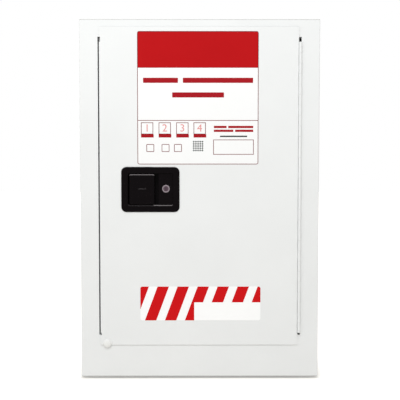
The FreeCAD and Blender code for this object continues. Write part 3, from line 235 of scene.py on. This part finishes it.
def galvanised(name):
    """Dull zinc with its frozen spangle."""
    made = new_material(name, srgb(163, 167, 171), roughness=0.42, metallic=1.0)
    tree = made.node_tree
    spangle = add_node(tree, "ShaderNodeTexVoronoi", Scale=1 / SPANGLE, Randomness=1.0)
    tree.links.new(place_of(made, EVEN), spangle.inputs["Vector"])
    tone = add_node(tree, "ShaderNodeSeparateColor")
    tree.links.new(spangle.outputs["Color"], tone.inputs["Color"])
    lay_over(made, srgb(190, 193, 195), tone.outputs["Red"])
    vary_roughness(made, tone.outputs["Green"], low=0.34, high=0.46)
    return made


def plated_steel(name, colour, roughness, stretch):
    """Bright plated or stainless steel with a fine drawn grain."""
    made = new_material(name, colour, roughness, metallic=1.0)
    grain = noise(made, grain=0.7 * MM, stretch=stretch)
    vary_roughness(made, grain, low=roughness - 0.06, high=roughness + 0.08)
    add_bump(made, grain, height=0.003 * MM)
    return made


def vinyl(name, colour, shade, roughness, specular):
    """Printed vinyl or its ink: smooth, with a barely uneven surface."""
    made = new_material(name, colour, roughness, specular=specular)
    vary_colour(made, noise(made, grain=60 * MM, detail=3.0), shade)
    vary_roughness(made, noise(made, grain=25 * MM, detail=3.0), low=roughness - 0.04, high=roughness + 0.05)
    add_bump(made, noise(made, grain=6 * MM), height=0.01 * MM)
    return made


def moulded(name, colour, shade, roughness, grain):
    """Moulded nylon or rubber with a fine skin."""
    made = new_material(name, colour, roughness)
    vary_colour(made, noise(made, grain=20 * MM), shade)
    vary_roughness(made, noise(made, grain=8 * MM), low=roughness - 0.05, high=roughness + 0.05)
    add_bump(made, noise(made, grain, detail=3.0), height=0.02 * MM)
    return made


# Painted shade on the white coat's level bends.
COAT_BEND_SHADE = srgb(190, 190, 187)
LATCH_BLACK = srgb(9, 5, 7)
# Painted highlights on the latch's and the pan's rounded edges that face up, brightest on the pan's lip
# beside the paddle.
LATCH_EDGE_HIGHLIGHT = srgb(112, 106, 108)
PAN_EDGE_HIGHLIGHT = srgb(40, 36, 38)
PAN_LIP_HIGHLIGHT = srgb(128, 122, 124)
# A sheen is a roughness and a specular level.
INK_SHEEN = (0.4, 0.1)
CARD_SHEEN = (0.36, 0.3)
looks = {
    "white_coat": powder_coat("white_powder_coat", srgb(235, 236, 236), srgb(232, 233, 233)),
    "cap": powder_coat("cap_powder_coat", srgb(234, 234, 232), srgb(231, 231, 229)),
    "zinc_sheet": galvanised("galvanised_sheet"),
    "bright_steel": plated_steel("bright_steel", srgb(200, 200, 198), 0.26, ALONG_Z),
    "flame_screen": plated_steel("screen_steel", srgb(160, 160, 158), 0.35, ALONG_Y),
    "brass": plated_steel("turned_brass", srgb(205, 168, 96), 0.28, ALONG_X),
    "lock_chrome": plated_steel("lock_chrome", srgb(158, 147, 154), 0.2, EVEN),
    "lock_face": plated_steel("lock_plug_face", srgb(96, 80, 90), 0.32, EVEN),
    "gasket": moulded("black_rubber", srgb(28, 28, 28), srgb(34, 34, 34), 0.6, 0.8 * MM),
    "foot": moulded("black_nylon", srgb(30, 30, 31), srgb(36, 36, 37), 0.5, 0.6 * MM),
    # The paddle and the pan carry painted highlights on their edges that face up.
    "black_latch": black_coat("black_latch_coat", LATCH_EDGE_HIGHLIGHT),
    "latch_pan": black_coat("black_pan_coat", PAN_EDGE_HIGHLIGHT),
    "white_nylon": moulded("white_nylon", srgb(236, 236, 234), srgb(232, 232, 230), 0.42, 0.9 * MM),
    "label": vinyl("label_vinyl", srgb(245, 245, 245), srgb(244, 244, 244), *CARD_SHEEN),
    "stripe": vinyl("stripe_vinyl", srgb(252, 252, 252), srgb(250, 250, 250), *CARD_SHEEN),
}
inks = {
    "header": vinyl("ink_header_red", srgb(184, 11, 17), srgb(181, 10, 16), *INK_SHEEN),
    "line": vinyl("ink_dark_red", srgb(118, 22, 30), srgb(114, 20, 28), *INK_SHEEN),
    "word": vinyl("ink_word_red", srgb(165, 22, 32), srgb(161, 21, 30), *INK_SHEEN),
    "pale": vinyl("ink_pale_red", srgb(226, 150, 148), srgb(222, 146, 144), *INK_SHEEN),
    "grey": vinyl("ink_grey", srgb(66, 70, 70), srgb(62, 66, 66), *INK_SHEEN),
    "stripe": vinyl("ink_stripe_red", srgb(206, 13, 19), srgb(203, 12, 18), *INK_SHEEN),
    "white": vinyl("ink_white", srgb(253, 253, 253), srgb(251, 251, 251), *CARD_SHEEN),
}


def dress_nodes():
    """Give each CAD node the look of its material slot."""
    for entry in frame["record"]["subparts"]:
        node = nodes[entry["node"]]
        node.data.materials.clear()
        node.data.materials.append(looks[entry["material_slot"]])


def dress_pan():
    """Give the latch's pan its own look, with a painted highlight on the lip beside the paddle."""
    paddle_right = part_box("latch_paddle")[1].x
    pan_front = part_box("latch_pan")[0].y
    rub_beside(looks["latch_pan"], PAN_LIP_HIGHLIGHT, paddle_right - HIGHLIGHT_LAP, pan_front + HIGHLIGHT_DEPTH)
    nodes["latch_pan"].data.materials[0] = looks["latch_pan"]


dress_nodes()
dress_pan()


# Mesh helpers. A quarter turn is in degrees.
QUARTER = 90


def rounded_outline(left, right, low, high, radius, steps=6):
    """Corner points of a rectangle with round corners, anticlockwise seen from the front."""
    if radius <= 0:
        return [(left, low), (right, low), (right, high), (left, high)]
    centres = [(right - radius, low + radius), (right - radius, high - radius),
               (left + radius, high - radius), (left + radius, low + radius)]
    points = []
    for corner, (x, z) in enumerate(centres):
        for step in range(steps + 1):
            turn = math.radians((corner - 1) * QUARTER + QUARTER * step / steps)
            points.append((x + radius * math.cos(turn), z + radius * math.sin(turn)))
    return points


def clip_to(points, outline):
    """The part of a polygon inside a convex anticlockwise outline."""
    kept = points
    for index, (x0, z0) in enumerate(outline):
        x1, z1 = outline[(index + 1) % len(outline)]

        def inside(point):
            return (x1 - x0) * (point[1] - z0) - (z1 - z0) * (point[0] - x0)

        result = []
        for number, here in enumerate(kept):
            before = kept[number - 1]
            side_here = inside(here)
            side_before = inside(before)
            if side_here * side_before < 0:
                share = side_before / (side_before - side_here)
                result.append((before[0] + share * (here[0] - before[0]),
                               before[1] + share * (here[1] - before[1])))
            if side_here >= 0:
                result.append(here)
        kept = result
        if not kept:
            break
    return kept


def add_plate(mesh, outline, back, front):
    """A thin closed plate with a flat outline, standing in the X-Z plane."""
    rear = [mesh.verts.new((x, back, z)) for x, z in outline]
    fore = [mesh.verts.new((x, front, z)) for x, z in outline]
    mesh.faces.new(fore)
    mesh.faces.new(reversed(rear))
    for index in range(len(outline)):
        after = (index + 1) % len(outline)
        mesh.faces.new((fore[after], fore[index], rear[index], rear[after]))


def add_band(mesh, outer, inner, back, front):
    """A thin closed band between two outlines with the same number of points."""
    rings = [[mesh.verts.new((x, y, z)) for x, z in outline]
             for outline, y in ((outer, front), (inner, front), (inner, back), (outer, back))]
    for index in range(len(outer)):
        after = (index + 1) % len(outer)
        for number, ring in enumerate(rings):
            following = rings[(number + 1) % len(rings)]
            mesh.faces.new((ring[index], ring[after], following[after], following[index]))


def add_object(name, data):
    """A new object in the scene."""
    made = bpy.data.objects.new(name, data)
    bpy.context.scene.collection.objects.link(made)
    return made


def finish_piece(name, mesh, look, body, smooth=False):
    """Turn a bmesh into an object that rides on a body."""
    bmesh.ops.recalc_face_normals(mesh, faces=mesh.faces)
    data = bpy.data.meshes.new(name)
    mesh.to_mesh(data)
    mesh.free()
    if smooth:
        data.shade_smooth()
    piece = add_object(name, data)
    data.materials.append(look)
    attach(piece, body)
    return piece


# Label on the door: a red header over a white card with plain bars, boxes and numbers. Distances are from
# the label's left and top edges.
INK = 0.04 * MM
LABEL_CORNER = 5 * MM
LINE = 1.5 * MM
FINE_LINE = 0.6 * MM
HEADER_TALL = 88.4 * MM
DIVIDER_DROP = 216.7 * MM
BAR_ROUND = 1.4 * MM

label_low, label_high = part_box("door_label")
label_front = label_low.y


def on_label(left, right, top, bottom):
    """Left, right, low and high in the frame, from distances along the label."""
    return (label_low.x + left, label_low.x + right, label_high.z - bottom, label_high.z - top)


def label_bar(mesh, left, right, top, bottom, radius=0.0):
    """A filled bar on the label."""
    outline = rounded_outline(*on_label(left, right, top, bottom), radius)
    add_plate(mesh, outline, label_front, label_front - INK)


def label_box(mesh, left, right, top, bottom, radius=0.0):
    """An open box on the label, drawn with one line."""
    outer = on_label(left, right, top, bottom)
    inner = (outer[0] + LINE, outer[1] - LINE, outer[2] + LINE, outer[3] - LINE)
    add_band(mesh, rounded_outline(*outer, radius), rounded_outline(*inner, max(radius - LINE, 0)),
             label_front, label_front - INK)


def label_print(name, ink, draw):
    """One colour of the label's print."""
    mesh = bmesh.new()
    draw(mesh)
    finish_piece(name, mesh, inks[ink], "door")


def draw_header(mesh):
    width = label_high.x - label_low.x
    whole = rounded_outline(label_low.x + LINE, label_high.x - LINE, label_low.z + LINE, label_high.z - LINE,
                            LABEL_CORNER - LINE)
    window = rounded_outline(*on_label(0, width, 0, HEADER_TALL), 0)
    add_plate(mesh, clip_to(whole, window), label_front, label_front - INK)


def draw_lines(mesh):
    width = label_high.x - label_low.x
    height = label_high.z - label_low.z
    label_box(mesh, 0.0, width, 0.0, height, LABEL_CORNER)
    label_bar(mesh, LINE, width - LINE, HEADER_TALL, HEADER_TALL + FINE_LINE)
    label_bar(mesh, LINE, width - LINE, DIVIDER_DROP, DIVIDER_DROP + LINE)


# Each large bar is its left, right and middle, in millimetres.
TITLE_BARS = ((14.3, 99.8, 119.5), (111.8, 284.0, 119.5), (85.5, 212.7, 155.1))
TITLE_TALL = 12.5


def draw_title(mesh):
    for left, right, middle in TITLE_BARS:
        label_bar(mesh, left * MM, right * MM, (middle - TITLE_TALL / 2) * MM, (middle + TITLE_TALL / 2) * MM,
                  BAR_ROUND)


# Left edges of the small boxes, in millimetres
STEP_LEFTS = (8.8, 52.2, 95.4, 138.0)
STEP_WIDE = 30 * MM
STEP_TOP = 222.3 * MM
STEP_BOTTOM = 259.3 * MM
CAPTION_TALL = 8 * MM
CAPTION_WIDE = 31.1 * MM


def draw_step_boxes(mesh):
    for left in STEP_LEFTS:
        label_box(mesh, left * MM, left * MM + STEP_WIDE, STEP_TOP, STEP_BOTTOM - CAPTION_TALL)


def draw_captions(mesh):
    for left in STEP_LEFTS:
        label_bar(mesh, left * MM, left * MM + CAPTION_WIDE, STEP_BOTTOM - CAPTION_TALL, STEP_BOTTOM)


# The small bars and the wide box are their left, right, top and bottom, in millimetres.
SIDE_BARS = (
    (187.9, 219.2, 230.6, 236.2), (223.2, 284.6, 230.6, 236.2),
    (187.9, 235.7, 240.0, 245.6), (240.1, 284.6, 240.0, 245.6))
NOTE_BAR = (202.8, 269.7, 254.6, 258.2)


def draw_side_bars(mesh):
    for bar in SIDE_BARS:
        label_bar(mesh, *(side * MM for side in bar))


WRITE_BOX = (186.3, 286.0, 264.3, 301.3)
# Three boxes, left and right of each, between one top and bottom
TICK_BOXES = ((22.0, 41.0), (59.5, 78.5), (90.0, 109.0))
TICK_TOP = 275.5
TICK_BOTTOM = 294.5
TICK_ROUND = 2 * MM


def draw_write_boxes(mesh):
    label_box(mesh, *(side * MM for side in WRITE_BOX))
    for left, right in TICK_BOXES:
        label_box(mesh, left * MM, right * MM, TICK_TOP * MM, TICK_BOTTOM * MM, TICK_ROUND)


# Dot grid
SWATCH_LEFT = 136.5 * MM
SWATCH_TOP = 267.6 * MM
SWATCH_PITCH = 5.4 * MM
SWATCH_DOT = 3.6 * MM
SWATCH_COUNT = 5


def draw_swatch(mesh):
    for across in range(SWATCH_COUNT):
        for down in range(SWATCH_COUNT):
            left = SWATCH_LEFT + across * SWATCH_PITCH
            top = SWATCH_TOP + down * SWATCH_PITCH
            label_bar(mesh, left, left + SWATCH_DOT, top, top + SWATCH_DOT)
    label_bar(mesh, *(side * MM for side in NOTE_BAR))


NUMBER_SIZE = 26 * MM
NUMBER_CURVE_STEPS = 4
FLAT_ANGLE = math.radians(1)


def label_numbers():
    """The plain numbers 1 to 4, one in each small box."""
    mesh = bmesh.new()
    for number, left in enumerate(STEP_LEFTS, start=1):
        digit = bpy.data.curves.new("number", "FONT")
        digit.body = str(number)
        digit.size = NUMBER_SIZE
        digit.align_x = "CENTER"
        digit.align_y = "CENTER"
        digit.resolution_u = NUMBER_CURVE_STEPS
        carrier = add_object("number", digit)
        bpy.context.view_layer.update()
        flat = bpy.data.meshes.new_from_object(carrier)
        middle_x = label_low.x + left * MM + STEP_WIDE / 2
        middle_z = label_high.z - (STEP_TOP + STEP_BOTTOM - CAPTION_TALL) / 2
        shape = bmesh.new()
        shape.from_mesh(flat)
        bmesh.ops.dissolve_limit(shape, angle_limit=FLAT_ANGLE, verts=shape.verts, edges=shape.edges)
        for face in list(shape.faces):
            add_plate(mesh, [(middle_x + corner.co.x, middle_z + corner.co.y) for corner in face.verts],
                      label_front, label_front - INK)
        shape.free()
        bpy.data.objects.remove(carrier)
        bpy.data.curves.remove(digit)
        bpy.data.meshes.remove(flat)
    finish_piece("label_numbers", mesh, inks["pale"], "door")


label_print("label_header", "header", draw_header)
label_print("label_lines", "line", draw_lines)
label_print("label_title_bars", "word", draw_title)
label_print("label_step_boxes", "line", draw_step_boxes)
label_print("label_step_captions", "word", draw_captions)
label_print("label_side_bars", "word", draw_side_bars)
label_print("label_write_boxes", "line", draw_write_boxes)
label_print("label_dot_grid", "grey", draw_swatch)
label_numbers()


# Striped sticker: red stripes that lean to the right, and a white field over the lower right
STRIPE_CORNER = 5 * MM
STRIPE_FIRST = 11.1 * MM
STRIPE_PITCH = 49.7 * MM
STRIPE_WIDE = 28.3 * MM
STRIPE_LEAN = math.radians(20.5)
FIELD_LEFT = 133.8 * MM
FIELD_TALL = 45.2 * MM

stripe_low, stripe_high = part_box("door_stripe_sticker")
stripe_front = stripe_low.y
stripe_outline = rounded_outline(stripe_low.x, stripe_high.x, stripe_low.z, stripe_high.z, STRIPE_CORNER)


def sticker_stripes():
    """Slanted stripes cut to the sticker's outline."""
    mesh = bmesh.new()
    height = stripe_high.z - stripe_low.z
    shift = height * math.tan(STRIPE_LEAN)
    count = int((stripe_high.x - stripe_low.x) / STRIPE_PITCH) + 2
    for number in range(-1, count):
        left = stripe_low.x + STRIPE_FIRST + number * STRIPE_PITCH
        stripe = [(left, stripe_low.z), (left + STRIPE_WIDE, stripe_low.z),
                  (left + STRIPE_WIDE + shift, stripe_high.z), (left + shift, stripe_high.z)]
        cut = clip_to(stripe, stripe_outline)
        if len(cut) > 2:
            add_plate(mesh, cut, stripe_front, stripe_front - INK)
    finish_piece("sticker_stripes", mesh, inks["stripe"], "door")


def sticker_field():
    """White field printed over the stripes."""
    mesh = bmesh.new()
    window = rounded_outline(stripe_low.x + FIELD_LEFT, stripe_high.x, stripe_low.z,
                             stripe_low.z + FIELD_TALL, 0)
    add_plate(mesh, clip_to(window, stripe_outline), stripe_front, stripe_front - 2 * INK)
    finish_piece("sticker_white_field", mesh, inks["white"], "door")


sticker_stripes()
sticker_field()


# Dome at the foot of the door, with a smooth crown
DOME_RIM = 1 * MM
DOME_STEM = 2 * MM
DOME_SIDES = 48
DOME_STEPS = 10


def door_dome():
    """The dome as one turned form, from the end of its stem to its tip."""
    low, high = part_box("door_dome")
    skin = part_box("door_skin")[0].y
    radius = (high.x - low.x) / 2
    middle_x = (low.x + high.x) / 2
    middle_z = (low.z + high.z) / 2
    crown = skin - low.y - DOME_RIM
    profile = [(DOME_STEM, high.y), (DOME_STEM, skin), (radius, skin)]
    for step in range(DOME_STEPS):
        turn = math.radians(QUARTER * step / DOME_STEPS)
        profile.append((radius * math.cos(turn), skin - DOME_RIM - crown * math.sin(turn)))
    mesh = bmesh.new()
    rings = []
    turns = [2 * math.pi * side / DOME_SIDES for side in range(DOME_SIDES)]
    for reach, y in profile:
        ring = [(middle_x + reach * math.cos(turn), y, middle_z + reach * math.sin(turn)) for turn in turns]
        rings.append([mesh.verts.new(point) for point in ring])
    for first, second in zip(rings, rings[1:]):
        for side in range(DOME_SIDES):
            after = (side + 1) % DOME_SIDES
            mesh.faces.new((first[side], first[after], second[after], second[side]))
    mesh.faces.new(rings[0])
    tip = mesh.verts.new((middle_x, low.y, middle_z))
    for side in range(DOME_SIDES):
        mesh.faces.new((rings[-1][side], rings[-1][(side + 1) % DOME_SIDES], tip))
    piece = finish_piece("dome_cap", mesh, looks["white_nylon"], "door", smooth=True)
    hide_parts("door_dome")


door_dome()


# Floor, world, lamps and camera
FLOOR_REACH = 9.0
FLOOR_CORNERS = ((-1, -1), (1, -1), (1, 1), (-1, 1))
FLOOR_COLOUR = (0.84, 0.82, 0.77, 1.0)
FLOOR_GLOW = 0.8
EDGE_GLOW = 0.3
SHADOW_REACH = 50 * MM
WORLD_LEVEL = 0.77


def make_floor():
    """A pale floor that reads as white, and keeps a soft shadow round the cabinet's foot."""
    mesh = bmesh.new()
    mesh.faces.new([mesh.verts.new((x * FLOOR_REACH, y * FLOOR_REACH, 0)) for x, y in FLOOR_CORNERS])
    data = bpy.data.meshes.new("floor")
    mesh.to_mesh(data)
    mesh.free()
    floor = add_object("floor", data)

    made = bpy.data.materials.new("floor_paper")
    made.use_nodes = True
    tree = made.node_tree
    tree.nodes.remove(tree.nodes["Principled BSDF"])
    output = tree.nodes["Material Output"]
    diffuse = add_node(tree, "ShaderNodeBsdfDiffuse", Color=FLOOR_COLOUR)
    glow = add_node(tree, "ShaderNodeEmission", Color=WHITE)
    path = add_node(tree, "ShaderNodeLightPath")
    low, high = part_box("outer_case")
    middle = (low + high) / 2
    coordinates = add_node(tree, "ShaderNodeTexCoord")
    shift = add_node(tree, "ShaderNodeVectorMath", operation="SUBTRACT")
    shift.inputs[1].default_value = (middle.x, middle.y, 0)
    away = add_node(tree, "ShaderNodeVectorMath", operation="ABSOLUTE")
    outside = add_node(tree, "ShaderNodeVectorMath", operation="SUBTRACT")
    outside.inputs[1].default_value = ((high.x - low.x) / 2, (high.y - low.y) / 2, 0)
    clipped = add_node(tree, "ShaderNodeVectorMath", operation="MAXIMUM")
    distance = add_node(tree, "ShaderNodeVectorMath", operation="LENGTH")
    both = add_node(tree, "ShaderNodeAddShader")
    links = tree.links
    links.new(coordinates.outputs["Object"], shift.inputs[0])
    links.new(shift.outputs["Vector"], away.inputs[0])
    links.new(away.outputs["Vector"], outside.inputs[0])
    links.new(outside.outputs["Vector"], clipped.inputs[0])
    links.new(clipped.outputs["Vector"], distance.inputs[0])
    fade = map_range(made, distance.outputs["Value"], (0.0, SHADOW_REACH), (EDGE_GLOW, FLOOR_GLOW))
    links.new(multiply(made, fade, path.outputs["Is Camera Ray"]), glow.inputs["Strength"])
    links.new(diffuse.outputs["BSDF"], both.inputs[0])
    links.new(glow.outputs["Emission"], both.inputs[1])
    links.new(both.outputs["Shader"], output.inputs["Surface"])
    data.materials.append(made)


def make_world():
    """Soft even light; the camera and reflections see plain white."""
    world = bpy.data.worlds.new("studio")
    bpy.context.scene.world = world
    world.use_nodes = True
    tree = world.node_tree
    background = tree.nodes["Background"]
    background.inputs["Color"].default_value = WHITE
    path = add_node(tree, "ShaderNodeLightPath")
    glossy = add_node(tree, "ShaderNodeMath", operation="MAXIMUM")
    clear = add_node(tree, "ShaderNodeMath", operation="MAXIMUM")
    level = add_node(tree, "ShaderNodeMapRange", To_Min=WORLD_LEVEL, To_Max=1.0)
    links = tree.links
    links.new(path.outputs["Is Camera Ray"], glossy.inputs[0])
    links.new(path.outputs["Is Glossy Ray"], glossy.inputs[1])
    links.new(glossy.outputs["Value"], clear.inputs[0])
    links.new(path.outputs["Is Transmission Ray"], clear.inputs[1])
    links.new(clear.outputs["Value"], level.inputs["Value"])
    links.new(level.outputs["Result"], background.inputs["Strength"])


def add_lamp(name, place, target, width, height, power, colour):
    """A soft rectangular lamp aimed at a point."""
    light = bpy.data.lights.new(name, "AREA")
    light.shape = "RECTANGLE"
    light.size = width
    light.size_y = height
    light.energy = power
    light.color = colour
    lamp = add_object(name, light)
    lamp.location = place
    lamp.rotation_euler = (Vector(target) - Vector(place)).to_track_quat("-Z", "Y").to_euler()


CAMERA_SIDE = -6.6 * MM
CAMERA_AWAY = 2.2
CAMERA_HEIGHT = 578 * MM
CAMERA_PITCH = math.radians(3.4)
CAMERA_YAW = math.radians(0.195)
FOCAL_PIXELS = 891.7
IMAGE_PIXELS = 400
SENSOR = 36.0


def make_camera():
    """A camera in front of the door, slightly above its middle and tilted down."""
    data = bpy.data.cameras.new("camera")
    data.sensor_width = SENSOR
    data.lens = FOCAL_PIXELS / IMAGE_PIXELS * SENSOR
    camera = add_object("camera", data)
    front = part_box("outer_case")[0].y
    camera.location = (CAMERA_SIDE, front - CAMERA_AWAY, CAMERA_HEIGHT)
    camera.rotation_euler = (math.pi / 2 - CAMERA_PITCH, 0, -CAMERA_YAW)
    bpy.context.scene.camera = camera


make_floor()
make_world()
add_lamp("key", place=(-0.25, -1.6, 2.1), target=(0.0, -0.2, 0.6), width=0.8, height=0.3, power=18,
         colour=(0.95, 0.98, 1.0))
add_lamp("fill", place=(-2.0, -1.6, 1.2), target=(0.0, 0.0, 0.5), width=1.6, height=1.6, power=3,
         colour=WHITE[:3])
make_camera()
bpy.context.scene.view_settings.view_transform = "Standard"
